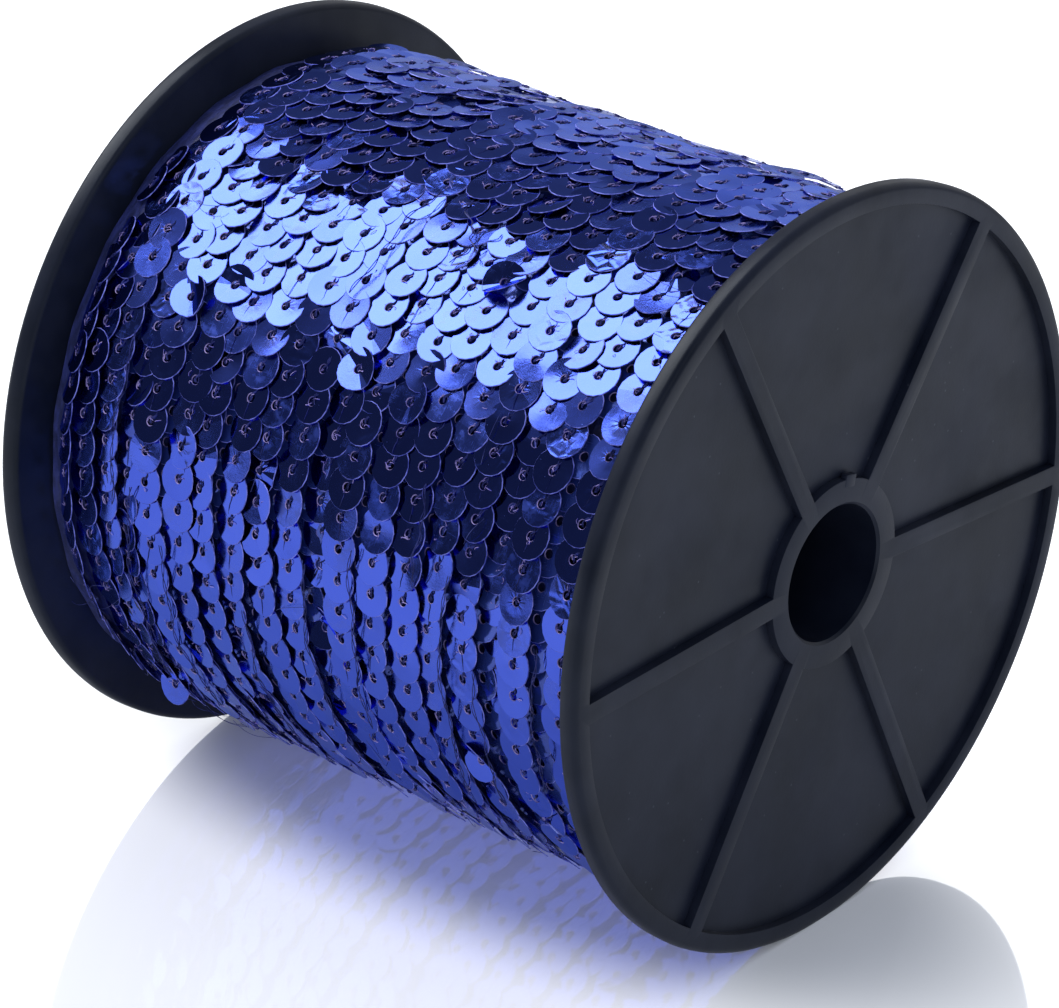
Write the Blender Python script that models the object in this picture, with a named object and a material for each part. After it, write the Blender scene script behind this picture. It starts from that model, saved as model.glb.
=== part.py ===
"""Sequin trim wound on a moulded plastic reel, which lies on its two rims.

Units are metres, with +Z up. The reel's axis runs along X, the surface that it
lies on is z = 0, and the origin is on that surface under the reel's middle.
"""
import math

import bmesh
import bpy
from mathutils import Matrix, Vector

MM = 0.001
# Clearance between pieces that touch on the real reel.
SEAT_GAP = 0.3 * MM

# The reel as a whole.
FLANGE_RADIUS = 50.0 * MM
REEL_WIDTH = 96.0 * MM
BORE_RADIUS = 9.0 * MM
# Half the width of the small flat on which each rim rests.
REST_HALF_WIDTH = 6.5 * MM
AXIS_HEIGHT = math.sqrt(FLANGE_RADIUS ** 2 - REST_HALF_WIDTH ** 2)

# One flange: a thin web inside a raised rim, with a collar and ribs outside.
RIM_THICKNESS = 2.8 * MM
RIM_WIDTH = 2.7 * MM
RIM_ROUNDING = 0.9 * MM
WEB_THICKNESS = 1.6 * MM
COLLAR_RADIUS = 12.4 * MM
RIB_WIDTH = 2.7 * MM
RIB_DROP = 0.1 * MM
RIB_SEAT = 0.8 * MM
# Turns of the ribs about the axis, from +Y towards +Z. They are a little uneven.
RIB_TURNS = tuple(math.radians(turn) for turn in (-5.0, 52.0, 117.5, 180.0, 236.0, 295.5))

# The hub: a short spigot on each flange plugs into a plain tube.
SPIGOT_RADIUS = 11.0 * MM
SPIGOT_LENGTH = 9.0 * MM
TUBE_RADIUS = 14.5 * MM

# The wound trim, one turn of 6 mm sequins to each ridge.
TRIM_PITCH = 4.74 * MM
WINDING_RADIUS = 45.1 * MM
RIDGE_HEIGHT = 1.1 * MM
UNEVEN_HEIGHT = 0.3 * MM
UNEVEN_SHIFT = 0.5 * MM

# Mesh resolution.
TURN_STEPS = 64
WINDING_STEPS = 48
ARC_STEPS = 2

INNER_FACE = REEL_WIDTH / 2 - RIM_THICKNESS
FILL_HALF_LENGTH = INNER_FACE - SEAT_GAP
AXIS = Vector((1.0, 0.0, 0.0))


def clear_scene():
    """Remove whatever the file holds."""
    for item in list(bpy.data.objects):
        bpy.data.objects.remove(item, do_unlink=True)


def make_material(name, colour, roughness, metallic=0.0):
    """Return a Principled material."""
    material = bpy.data.materials.new(name)
    material.use_nodes = True
    shader = material.node_tree.nodes["Principled BSDF"]
    shader.inputs["Base Color"].default_value = (*colour, 1.0)
    shader.inputs["Roughness"].default_value = roughness
    shader.inputs["Metallic"].default_value = metallic
    return material


def add_object(name, mesh, location=(0.0, 0.0, 0.0), turn=0.0):
    """Link an object for the mesh, turned about Z."""
    item = bpy.data.objects.new(name, mesh)
    item.location = location
    item.rotation_euler = (0.0, 0.0, turn)
    bpy.context.scene.collection.objects.link(item)
    return item


def finish_mesh(name, work, material):
    """Turn the bmesh into a smooth-shaded mesh with the material."""
    bmesh.ops.recalc_face_normals(work, faces=work.faces)
    mesh = bpy.data.meshes.new(name)
    work.to_mesh(mesh)
    work.free()
    mesh.materials.append(material)
    mesh.shade_smooth()
    mesh.set_sharp_from_angle(angle=math.radians(35))
    return mesh


def add_outline(work, points, closed):
    """Add a chain of edges through points given as (along, radius)."""
    verts = [work.verts.new((along, radius, 0.0)) for along, radius in points]
    pairs = list(zip(verts, verts[1:]))
    if closed:
        pairs.append((verts[-1], verts[0]))
    return verts + [work.edges.new(pair) for pair in pairs]


def turn_solid(work, points, steps):
    """Spin a closed outline of (along, radius) points about the axis."""
    outline = add_outline(work, points, closed=True)
    bmesh.ops.spin(
        work, geom=outline, cent=(0.0, 0.0, 0.0), axis=AXIS, dvec=(0.0, 0.0, 0.0),
        angle=math.tau, steps=steps, use_merge=True, use_duplicate=False,
    )


def arc(centre, radius, start, end):
    """Return points of an arc about (along, radius), with angles in degrees."""
    points = []
    for step in range(ARC_STEPS + 1):
        angle = math.radians(start + (end - start) * step / ARC_STEPS)
        points.append((centre[0] + radius * math.cos(angle), centre[1] + radius * math.sin(angle)))
    return points


def flange_outline():
    """Return a flange's section, with its inner face at 0 and its outside towards +X."""
    rim_inside = FLANGE_RADIUS - RIM_WIDTH
    round_radius = FLANGE_RADIUS - RIM_ROUNDING
    return [
        (RIM_THICKNESS, BORE_RADIUS),
        (RIM_THICKNESS, COLLAR_RADIUS),
        (WEB_THICKNESS, COLLAR_RADIUS),
        (WEB_THICKNESS, rim_inside),
        (RIM_THICKNESS, rim_inside),
        *arc((RIM_THICKNESS - RIM_ROUNDING, round_radius), RIM_ROUNDING, 0, 90),
        *arc((RIM_ROUNDING, round_radius), RIM_ROUNDING, 90, 180),
        (0.0, SPIGOT_RADIUS),
        (-SPIGOT_LENGTH, SPIGOT_RADIUS),
        (-SPIGOT_LENGTH, BORE_RADIUS),
    ]


def cut_and_cap(work, point, outward):
    """Cut the solid by a plane, drop what lies outward and close the cut."""
    geometry = work.verts[:] + work.edges[:] + work.faces[:]
    bmesh.ops.bisect_plane(
        work, geom=geometry, dist=1e-7, plane_co=point, plane_no=outward, clear_outer=True,
    )
    rim = [edge for edge in work.edges if edge.is_boundary]
    bmesh.ops.holes_fill(work, edges=rim, sides=0)


def make_flange_mesh(material):
    """Turn one flange and cut its rest flat."""
    work = bmesh.new()
    turn_solid(work, flange_outline(), TURN_STEPS)
    cut_and_cap(work, (0.0, 0.0, -AXIS_HEIGHT), (0.0, 0.0, -1.0))
    return finish_mesh("flange", work, material)


def make_rib_mesh(material):
    """Make the ribs that stand on the web, from the collar out to the rim."""
    inner = COLLAR_RADIUS - RIB_SEAT
    outer = FLANGE_RADIUS - RIM_WIDTH + RIB_SEAT
    low = WEB_THICKNESS - RIB_SEAT
    high = RIM_THICKNESS - RIB_DROP
    size = Matrix.Diagonal((high - low, outer - inner, RIB_WIDTH, 1.0))
    place = Matrix.Translation(((low + high) / 2, (inner + outer) / 2, 0.0))
    work = bmesh.new()
    for rib_turn in RIB_TURNS:
        turn = Matrix.Rotation(rib_turn, 4, AXIS)
        bmesh.ops.create_cube(work, size=1.0, matrix=turn @ place @ size)
    return finish_mesh("ribs", work, material)


def add_guide(name, mesh, location=(0.0, 0.0, 0.0), turn=0.0):
    """Add a helper object for a Boolean, which isn't a piece."""
    guide = add_object(name, mesh, location, turn)
    guide.hide_render = True
    guide.display_type = "WIRE"
    return guide


def add_boolean(item, guide, operation):
    """Join the guide to the object, or cut it out."""
    modifier = item.modifiers.new(operation.lower(), "BOOLEAN")
    modifier.operation = operation
    modifier.solver = "EXACT"
    modifier.object = guide


def build_flanges(material):
    """Place two like flanges back to back, each with its ribs joined on."""
    flange_mesh = make_flange_mesh(material)
    rib_mesh = make_rib_mesh(material)
    for name, side, turn in (("flange_near", 1, 0.0), ("flange_far", -1, math.pi)):
        location = (side * INNER_FACE, 0.0, AXIS_HEIGHT)
        flange = add_object(name, flange_mesh, location, turn)
        ribs = add_guide(f"{name}_ribs", rib_mesh, location, turn)
        add_boolean(flange, ribs, "UNION")


def build_tube(material):
    """Place the hub tube between the flanges, over their spigots."""
    inner = SPIGOT_RADIUS + SEAT_GAP
    outline = [
        (FILL_HALF_LENGTH, inner),
        (FILL_HALF_LENGTH, TUBE_RADIUS),
        (-FILL_HALF_LENGTH, TUBE_RADIUS),
        (-FILL_HALF_LENGTH, inner),
    ]
    work = bmesh.new()
    turn_solid(work, outline, TURN_STEPS)
    mesh = finish_mesh("hub_tube", work, material)
    add_object("hub_tube", mesh, (0.0, 0.0, AXIS_HEIGHT))


def ridge_outline(start):
    """Return one turn's ridge: it rises over the turn before and drops at its edge."""
    return [
        (start, WINDING_RADIUS),
        (start + 0.30 * TRIM_PITCH, WINDING_RADIUS + 0.75 * RIDGE_HEIGHT),
        (start + 0.68 * TRIM_PITCH, WINDING_RADIUS + RIDGE_HEIGHT),
        (start + TRIM_PITCH, WINDING_RADIUS),
    ]


def make_uneven(work):
    """Let the turns wander and swell a little, as hand-guided winding does."""
    for vert in work.verts:
        angle = math.atan2(vert.co.z, vert.co.y)
        turn = vert.co.x / TRIM_PITCH
        radial = Vector((0.0, math.cos(angle), math.sin(angle)))
        swell = math.sin(1.9 * turn + 1.3 * math.sin(angle)) + math.sin(0.6 * turn + 2 * angle)
        shift = math.sin(1.1 * turn + 1.7 * math.cos(angle))
        vert.co += radial * (UNEVEN_HEIGHT * swell / 2)
        vert.co.x += UNEVEN_SHIFT * shift


def build_winding(material):
    """Screw one ridge along the axis, trim both ends and cut the hole for the tube."""
    turns = math.ceil(2 * INNER_FACE / TRIM_PITCH) + 3
    work = bmesh.new()
    outline = add_outline(work, ridge_outline(-turns * TRIM_PITCH / 2 - TRIM_PITCH), closed=False)
    bmesh.ops.spin(
        work, geom=outline, cent=(0.0, 0.0, 0.0), axis=AXIS,
        dvec=(TRIM_PITCH / WINDING_STEPS, 0.0, 0.0), angle=math.tau * turns,
        steps=WINDING_STEPS * turns, use_merge=False, use_duplicate=False,
    )
    bmesh.ops.remove_doubles(work, verts=work.verts, dist=0.02 * MM)
    make_uneven(work)
    for side in (1, -1):
        cut_and_cap(work, (side * FILL_HALF_LENGTH, 0.0, 0.0), (side, 0.0, 0.0))
    winding = add_object("sequin_winding", finish_mesh("winding", work, material), (0.0, 0.0, AXIS_HEIGHT))

    hole = bmesh.new()
    place = Matrix.Rotation(math.pi / 2, 4, "Y")
    radius = TUBE_RADIUS + SEAT_GAP
    bmesh.ops.create_cone(
        hole, cap_ends=True, cap_tris=False, segments=TURN_STEPS, radius1=radius, radius2=radius,
        depth=REEL_WIDTH, matrix=place,
    )
    guide = add_guide("winding_hole", finish_mesh("winding_hole", hole, material), (0.0, 0.0, AXIS_HEIGHT))
    add_boolean(winding, guide, "DIFFERENCE")


def main():
    """Build the reel and the trim wound on it."""
    clear_scene()
    plastic = make_material("black_plastic", (0.024, 0.027, 0.034), 0.42)
    film = make_material("blue_film", (0.015, 0.06, 0.62), 0.22, metallic=1.0)
    build_flanges(plastic)
    build_tube(plastic)
    build_winding(film)


if __name__ == "__main__":
    main()
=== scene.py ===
"""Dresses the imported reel: flat sequin trim wound full on a black moulded reel.

Lengths are metres. The reel's axis runs along X at AXIS_HEIGHT, the surface that it
lies on is z = 0, and the near flange faces +X. Angles round the winding are measured
from the front (-Y) up over the top (+Z).
"""
import logging
import math
from dataclasses import dataclass
from enum import Enum
from typing import Optional, Sequence, Union

import bmesh
import bpy
import numpy as np
from mathutils import Matrix, Vector


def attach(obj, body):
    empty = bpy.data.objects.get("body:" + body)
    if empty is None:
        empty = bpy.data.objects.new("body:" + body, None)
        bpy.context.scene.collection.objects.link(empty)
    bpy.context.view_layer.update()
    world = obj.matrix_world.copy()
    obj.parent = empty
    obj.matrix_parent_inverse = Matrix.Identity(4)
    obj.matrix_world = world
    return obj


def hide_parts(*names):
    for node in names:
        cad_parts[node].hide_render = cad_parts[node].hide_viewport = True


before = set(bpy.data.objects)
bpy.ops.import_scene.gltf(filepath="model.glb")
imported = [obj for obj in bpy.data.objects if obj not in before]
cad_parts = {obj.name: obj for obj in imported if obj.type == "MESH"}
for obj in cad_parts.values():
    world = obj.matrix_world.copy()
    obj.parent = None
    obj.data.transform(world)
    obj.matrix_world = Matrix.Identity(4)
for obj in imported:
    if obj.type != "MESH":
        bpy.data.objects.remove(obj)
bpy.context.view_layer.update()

LOG = logging.getLogger("sequin_reel")

MM = 0.001
ROOT_BODY = "root"

FLANGE_RADIUS = 50.0 * MM
REST_HALF_WIDTH = 6.5 * MM
AXIS_HEIGHT = math.sqrt(FLANGE_RADIUS ** 2 - REST_HALF_WIDTH ** 2)
REEL_WIDTH = 96.0 * MM
RIM_THICKNESS = 2.8 * MM
INNER_FACE = REEL_WIDTH / 2 - RIM_THICKNESS
TRIM_PITCH = 4.74 * MM
SMOOTH_ANGLE = math.radians(32)

SocketValue = Union[bpy.types.NodeSocket, float, Sequence[float]]


class Slot(Enum):
    """The record's material slots."""

    PLASTIC = "reel_plastic"
    FILM = "sequin_film"


class NodeGraph:
    """Adds and links the nodes of one node tree."""

    def __init__(self, tree: bpy.types.NodeTree) -> None:
        """Keep the tree that the nodes go into."""
        self.tree = tree

    def add(self, kind: str, inputs: Optional[dict[str, SocketValue]] = None, **settings: object) -> bpy.types.Node:
        """Add a node.

        Args:
            kind: The node's type name, such as ShaderNodeTexNoise.
            inputs: Values or source sockets by input name.
            **settings: Properties of the node.

        Returns:
            The new node.
        """
        node = self.tree.nodes.new(kind)
        for name, value in settings.items():
            setattr(node, name, value)
        for name, value in (inputs or {}).items():
            self.feed(node.inputs[name], value)
        return node

    def feed(self, target: bpy.types.NodeSocket, value: SocketValue) -> None:
        """Link a socket to the target, or set the target's value."""
        if isinstance(value, bpy.types.NodeSocket):
            self.tree.links.new(value, target)
        else:
            target.default_value = value

    def math(self, operation: str, first: SocketValue, second: SocketValue = 0.0) -> bpy.types.NodeSocket:
        """Return the result of a Math node on one or two values."""
        node = self.tree.nodes.new("ShaderNodeMath")
        node.operation = operation
        self.feed(node.inputs[0], first)
        self.feed(node.inputs[1], second)
        return node.outputs[0]

    def range(self, value: SocketValue, start: float, end: float, low: float, high: float) -> bpy.types.NodeSocket:
        """Return the value mapped smoothly from start..end to low..high."""
        node = self.add(
            "ShaderNodeMapRange",
            {"Value": value, "From Min": start, "From Max": end, "To Min": low, "To Max": high},
            interpolation_type="SMOOTHSTEP",
        )
        return node.outputs["Result"]

    def mix(self, share: SocketValue, first: SocketValue, second: SocketValue, blend: str = "MIX") -> bpy.types.NodeSocket:
        """Return two colours mixed by a share from 0 to 1."""
        node = self.tree.nodes.new("ShaderNodeMix")
        node.data_type = "RGBA"
        node.blend_type = blend
        self.feed(node.inputs["Factor"], share)
        self.feed(node.inputs[6], first)
        self.feed(node.inputs[7], second)
        return node.outputs[2]

    def noise(self, vector: SocketValue, scale: float, detail: float = 2.0, rough: float = 0.5) -> bpy.types.NodeSocket:
        """Return the value of a noise texture."""
        node = self.add(
            "ShaderNodeTexNoise",
            {"Vector": vector, "Scale": scale, "Detail": detail, "Roughness": rough},
        )
        return node.outputs["Fac"]

    def shift(self, vector: SocketValue, offset: SocketValue, scale: Sequence[float]) -> bpy.types.NodeSocket:
        """Return the vector times the scale, plus the offset."""
        node = self.add("ShaderNodeVectorMath", operation="MULTIPLY_ADD")
        self.feed(node.inputs[0], vector)
        self.feed(node.inputs[1], scale)
        self.feed(node.inputs[2], offset)
        return node.outputs[0]


def make_group(name: str, inputs: dict[str, tuple[str, float]], outputs: Sequence[str]) -> bpy.types.NodeTree:
    """Return an empty shader node group with its sockets.

    Args:
        name: The group's name.
        inputs: Socket type and default value by input name. A vector has no default.
        outputs: Names of the float outputs.

    Returns:
        The group's node tree, with its input and output nodes in place.
    """
    tree = bpy.data.node_groups.new(name, "ShaderNodeTree")
    for label, (kind, default) in inputs.items():
        socket = tree.interface.new_socket(label, in_out="INPUT", socket_type=kind)
        if kind == "NodeSocketFloat":
            socket.default_value = default
    for label in outputs:
        tree.interface.new_socket(label, in_out="OUTPUT", socket_type="NodeSocketFloat")
    tree.nodes.new("NodeGroupInput")
    tree.nodes.new("NodeGroupOutput")
    return tree


class SharedEffects:
    """Node groups that several finishes use."""

    def __init__(self) -> None:
        """Build each group once."""
        self.grain = self._grain()
        self.dust = self._dust()

    @staticmethod
    def _grain() -> bpy.types.NodeTree:
        """Return the group of a fine two-scale surface grain, as a height."""
        sockets = {
            "Vector": ("NodeSocketVector", 0.0),
            "Scale": ("NodeSocketFloat", 1000.0),
            "Coarse": ("NodeSocketFloat", 0.5),
        }
        tree = make_group("fine_grain", sockets, ["Height"])
        graph = NodeGraph(tree)
        source = tree.nodes["Group Input"].outputs
        fine = graph.noise(source["Vector"], 1.0, 3.0, 0.6)
        tree.links.new(source["Scale"], fine.node.inputs["Scale"])
        wide = graph.noise(source["Vector"], 1.0, 1.0, 0.5)
        tree.links.new(graph.math("MULTIPLY", source["Scale"], 0.12), wide.node.inputs["Scale"])
        coarse = graph.math("MULTIPLY", wide, source["Coarse"])
        height = graph.math("ADD", fine, coarse)
        tree.links.new(height, tree.nodes["Group Output"].inputs["Height"])
        return tree

    @staticmethod
    def _dust() -> bpy.types.NodeTree:
        """Return the group of sparse specks of dust and lint, as a mask."""
        sockets = {
            "Vector": ("NodeSocketVector", 0.0),
            "Scale": ("NodeSocketFloat", 600.0),
            "Cover": ("NodeSocketFloat", 0.1),
        }
        tree = make_group("dust_specks", sockets, ["Mask"])
        graph = NodeGraph(tree)
        source = tree.nodes["Group Input"].outputs
        cells = graph.add("ShaderNodeTexVoronoi", {"Vector": source["Vector"], "Scale": source["Scale"]})
        speck = graph.range(cells.outputs["Distance"], 0.10, 0.22, 1.0, 0.0)
        chance = graph.add("ShaderNodeSeparateColor", {"Color": cells.outputs["Color"]})
        kept = graph.math("LESS_THAN", chance.outputs["Red"], source["Cover"])
        mask = graph.math("MULTIPLY", speck, kept)
        tree.links.new(mask, tree.nodes["Group Output"].inputs["Mask"])
        return tree


def new_material(name: str) -> tuple[bpy.types.Material, NodeGraph, bpy.types.Node]:
    """Return a node material, its graph and its Principled shader."""
    material = bpy.data.materials.new(name)
    material.use_nodes = True
    return material, NodeGraph(material.node_tree), material.node_tree.nodes["Principled BSDF"]


def add_bump(graph: NodeGraph, height: SocketValue, distance: float, under: Optional[SocketValue] = None) -> bpy.types.NodeSocket:
    """Return the normal of a bump of that height, over an earlier normal if one is given."""
    inputs: dict[str, SocketValue] = {"Height": height, "Distance": distance, "Strength": 1.0}
    if under is not None:
        inputs["Normal"] = under
    return graph.add("ShaderNodeBump", inputs).outputs["Normal"]


@dataclass(frozen=True)
class SequinFilm:
    """Metallic blue film under a clear skin, with slight creases and handling marks."""

    name: str
    blue: tuple[float, float, float, float] = (0.064, 0.117, 0.66, 1.0)
    deep_blue: tuple[float, float, float, float] = (0.045, 0.088, 0.57, 1.0)
    scuffed: tuple[float, float, float, float] = (0.22, 0.28, 0.66, 1.0)
    metallic: float = 1.0
    roughness: float = 0.12
    warp_depth: float = 0.11 * MM
    wrinkle_depth: float = 0.06 * MM
    crinkle_depth: float = 0.04 * MM
    grain_depth: float = 0.0042 * MM

    def _wear(self, graph: NodeGraph, place: SocketValue, wear: SocketValue) -> bpy.types.NodeSocket:
        """Return the mask of fine scratches and rubbed haze."""
        streaks = graph.noise(graph.shift(place, (0.0, 0.0, 0.0), (34.0, 2.6, 1.0)), 1.0, 2.0, 0.5)
        cross = graph.noise(graph.shift(place, (3.0, 7.0, 0.0), (2.2, 30.0, 1.0)), 1.0, 2.0, 0.5)
        scratch = graph.math("MAXIMUM", graph.range(streaks, 0.63, 0.72, 0.0, 1.0), graph.range(cross, 0.64, 0.73, 0.0, 1.0))
        rubbed = graph.range(graph.noise(place, 2.8, 4.0, 0.65), 0.46, 0.72, 0.0, 1.0)
        both = graph.math("ADD", graph.math("MULTIPLY", scratch, 0.8), rubbed)
        return graph.math("MULTIPLY", both, graph.range(wear, 0.35, 1.0, 0.10, 1.0))

    def _wrinkles(self, graph: NodeGraph, disc: SocketValue, lot: SocketValue, bend: SocketValue) -> bpy.types.NodeSocket:
        """Return the height of the wrinkles that the thread pulls round the hole."""
        centred = graph.shift(disc, (-0.5, -0.5, 0.0), (1.0, 1.0, 0.0))
        length = graph.add("ShaderNodeVectorMath", operation="LENGTH")
        graph.feed(length.inputs[0], centred)
        heading = graph.add("ShaderNodeVectorMath", operation="NORMALIZE")
        graph.feed(heading.inputs[0], centred)
        ray = graph.shift(lot, heading.outputs[0], (40.0, 60.0, 80.0))
        near = graph.range(length.outputs["Value"], 0.08, 0.34, 1.0, 0.0)
        pull = graph.math("MULTIPLY", near, graph.range(bend, 0.3, 1.0, 0.15, 1.0))
        return graph.math("MULTIPLY", graph.noise(ray, 2.4, 1.0, 0.5), pull)

    def make(self, effects: SharedEffects) -> bpy.types.Material:
        """Return the film's material. It reads each sequin's own UV map and lot colour."""
        material, graph, shader = new_material(self.name)
        disc = graph.add("ShaderNodeUVMap", uv_map="disc").outputs["UV"]
        lot = graph.add("ShaderNodeAttribute", attribute_name="lot", attribute_type="GEOMETRY").outputs["Color"]
        chance = graph.add("ShaderNodeSeparateColor", {"Color": lot})
        tone, wear, bend = (chance.outputs[name] for name in ("Red", "Green", "Blue"))
        place = graph.shift(lot, disc, (90.0, 70.0, 50.0))

        mottle = graph.math("MULTIPLY", graph.noise(place, 2.2, 2.0, 0.5), 0.35)
        share = graph.math("ADD", graph.math("MULTIPLY", tone, 0.65), mottle)
        colour = graph.mix(share, self.deep_blue, self.blue)
        worn = self._wear(graph, place, wear)
        colour = graph.mix(graph.math("MULTIPLY", worn, 0.10), colour, self.scuffed)
        dust = graph.add("ShaderNodeGroup", node_tree=effects.dust)
        graph.feed(dust.inputs["Vector"], place)
        graph.feed(dust.inputs["Scale"], 16.0)
        graph.feed(dust.inputs["Cover"], graph.math("MULTIPLY", wear, 0.07))
        colour = graph.mix(graph.math("MULTIPLY", dust.outputs["Mask"], 0.35), colour, self.scuffed)
        graph.feed(shader.inputs["Base Color"], colour)

        dull = graph.range(wear, 0.60, 1.0, self.roughness, self.roughness + 0.10)
        haze = graph.math("ADD", graph.math("MULTIPLY", worn, 0.20), graph.math("MULTIPLY", dust.outputs["Mask"], 0.3))
        graph.feed(shader.inputs["Roughness"], graph.math("ADD", haze, dull))

        warp = graph.noise(place, 1.3, 0.0, 0.5)
        warped = graph.math("MULTIPLY", warp, graph.range(bend, 0.2, 1.0, 0.2, 1.0))
        normal = add_bump(graph, warped, self.warp_depth)
        normal = add_bump(graph, self._wrinkles(graph, disc, lot, bend), self.wrinkle_depth, normal)
        cells = graph.add("ShaderNodeTexVoronoi", {"Vector": place, "Scale": 2.6}, feature="DISTANCE_TO_EDGE")
        flat = graph.range(cells.outputs["Distance"], 0.0, 0.25, 0.0, 1.0)
        fold = graph.math("MULTIPLY", flat, graph.range(bend, 0.80, 1.0, 0.0, 1.0))
        normal = add_bump(graph, fold, self.crinkle_depth, normal)
        grain = graph.add("ShaderNodeGroup", node_tree=effects.grain)
        graph.feed(grain.inputs["Vector"], place)
        graph.feed(grain.inputs["Scale"], 16.0)
        normal = add_bump(graph, grain.outputs["Height"], self.grain_depth, normal)
        graph.feed(shader.inputs["Normal"], normal)
        shader.inputs["Metallic"].default_value = self.metallic
        shader.inputs["Specular Tint"].default_value = (0.45, 0.58, 1.0, 1.0)
        shader.inputs["Coat Weight"].default_value = 0.38
        shader.inputs["Coat Roughness"].default_value = 0.12
        return material


@dataclass(frozen=True)
class CutEdge:
    """The edge that the film shows where it is stamped out, in a pale colour that is partly the raw edge's own and
    partly a painted highlight for the glints along it.
    """

    name: str
    pale: tuple[float, float, float, float] = (0.210, 0.230, 0.76, 1.0)
    dark: tuple[float, float, float, float] = (0.035, 0.048, 0.30, 1.0)

    def make(self, effects: SharedEffects) -> bpy.types.Material:
        """Return the material of the film's cut edges."""
        material, graph, shader = new_material(self.name)
        place = graph.add("ShaderNodeTexCoord").outputs["Object"]
        patch = graph.range(graph.noise(place, 900.0, 2.0, 0.5), 0.35, 0.65, 0.0, 1.0)
        graph.feed(shader.inputs["Base Color"], graph.mix(patch, self.dark, self.pale))
        grain = graph.add("ShaderNodeGroup", node_tree=effects.grain)
        graph.feed(grain.inputs["Vector"], place)
        graph.feed(grain.inputs["Scale"], 9000.0)
        graph.feed(shader.inputs["Roughness"], graph.range(grain.outputs["Height"], 0.3, 0.9, 0.3, 0.5))
        shader.inputs["Metallic"].default_value = 0.1
        shader.inputs["Specular IOR Level"].default_value = 0.2
        return material


@dataclass(frozen=True)
class TwistedThread:
    """Fine synthetic thread that holds the sequins."""

    name: str
    dark: tuple[float, float, float, float] = (0.009, 0.012, 0.065, 1.0)
    light: tuple[float, float, float, float] = (0.035, 0.042, 0.210, 1.0)
    fibre_scale: float = 5200.0
    fibre_depth: float = 0.02 * MM

    def make(self, effects: SharedEffects) -> bpy.types.Material:
        """Return the thread's material."""
        material, graph, shader = new_material(self.name)
        place = graph.add("ShaderNodeTexCoord").outputs["Object"]
        tone = graph.range(graph.noise(place, 700.0, 2.0, 0.6), 0.35, 0.7, 0.0, 1.0)
        graph.feed(shader.inputs["Base Color"], graph.mix(tone, self.dark, self.light))
        grain = graph.add("ShaderNodeGroup", node_tree=effects.grain)
        graph.feed(grain.inputs["Vector"], place)
        graph.feed(grain.inputs["Scale"], self.fibre_scale)
        graph.feed(shader.inputs["Roughness"], graph.range(grain.outputs["Height"], 0.3, 1.0, 0.22, 0.45))
        graph.feed(shader.inputs["Normal"], add_bump(graph, grain.outputs["Height"], self.fibre_depth))
        shader.inputs["Specular IOR Level"].default_value = 0.32
        shader.inputs["Specular Tint"].default_value = (0.60, 0.64, 1.0, 1.0)
        return material


@dataclass(frozen=True)
class MouldedPlastic:
    """Black satin plastic with flow marks, fine grain and a little dust."""

    name: str
    black: tuple[float, float, float, float] = (0.0030, 0.0050, 0.0125, 1.0)
    grey: tuple[float, float, float, float] = (0.0125, 0.0155, 0.0290, 1.0)
    dust_colour: tuple[float, float, float, float] = (0.16, 0.17, 0.20, 1.0)
    roughness: float = 0.40

    def make(self, effects: SharedEffects) -> bpy.types.Material:
        """Return the plastic's material."""
        material, graph, shader = new_material(self.name)
        place = graph.add("ShaderNodeTexCoord").outputs["Object"]
        flow = graph.noise(place, 42.0, 5.0, 0.62)
        colour = graph.mix(graph.range(flow, 0.3, 0.7, 0.0, 1.0), self.black, self.grey)
        dust = graph.add("ShaderNodeGroup", node_tree=effects.dust)
        graph.feed(dust.inputs["Vector"], place)
        graph.feed(dust.inputs["Scale"], 900.0)
        graph.feed(dust.inputs["Cover"], 0.012)
        colour = graph.mix(graph.math("MULTIPLY", dust.outputs["Mask"], 0.22), colour, self.dust_colour)
        graph.feed(shader.inputs["Base Color"], colour)
        smear = graph.noise(place, 90.0, 4.0, 0.6)
        rough = graph.math("ADD", graph.range(smear, 0.35, 0.7, -0.04, 0.06), self.roughness)
        graph.feed(shader.inputs["Roughness"], rough)
        grain = graph.add("ShaderNodeGroup", node_tree=effects.grain)
        graph.feed(grain.inputs["Vector"], place)
        graph.feed(grain.inputs["Scale"], 2400.0)
        graph.feed(grain.inputs["Coarse"], 1.2)
        graph.feed(shader.inputs["Normal"], add_bump(graph, grain.outputs["Height"], 0.010 * MM))
        shader.inputs["Specular IOR Level"].default_value = 0.23
        shader.inputs["Specular Tint"].default_value = (0.84, 0.92, 1.0, 1.0)
        return material


@dataclass(frozen=True)
class WoundCore:
    """The dark mass of thread and film deep between the sequins."""

    dark: tuple[float, float, float, float] = (0.012, 0.018, 0.090, 1.0)
    light: tuple[float, float, float, float] = (0.030, 0.042, 0.210, 1.0)

    def make(self, effects: SharedEffects) -> bpy.types.Material:
        """Return the material of the inner winding."""
        material, graph, shader = new_material("wound_core")
        place = graph.add("ShaderNodeTexCoord").outputs["Object"]
        strand = graph.noise(graph.shift(place, (0.0, 0.0, 0.0), (1.0, 0.25, 0.25)), 1400.0, 3.0, 0.6)
        graph.feed(shader.inputs["Base Color"], graph.mix(graph.range(strand, 0.35, 0.7, 0.0, 1.0), self.dark, self.light))
        grain = graph.add("ShaderNodeGroup", node_tree=effects.grain)
        graph.feed(grain.inputs["Vector"], place)
        graph.feed(grain.inputs["Scale"], 1800.0)
        graph.feed(shader.inputs["Roughness"], graph.range(grain.outputs["Height"], 0.3, 1.0, 0.4, 0.7))
        graph.feed(shader.inputs["Normal"], add_bump(graph, grain.outputs["Height"], 0.12 * MM))
        return material


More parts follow.
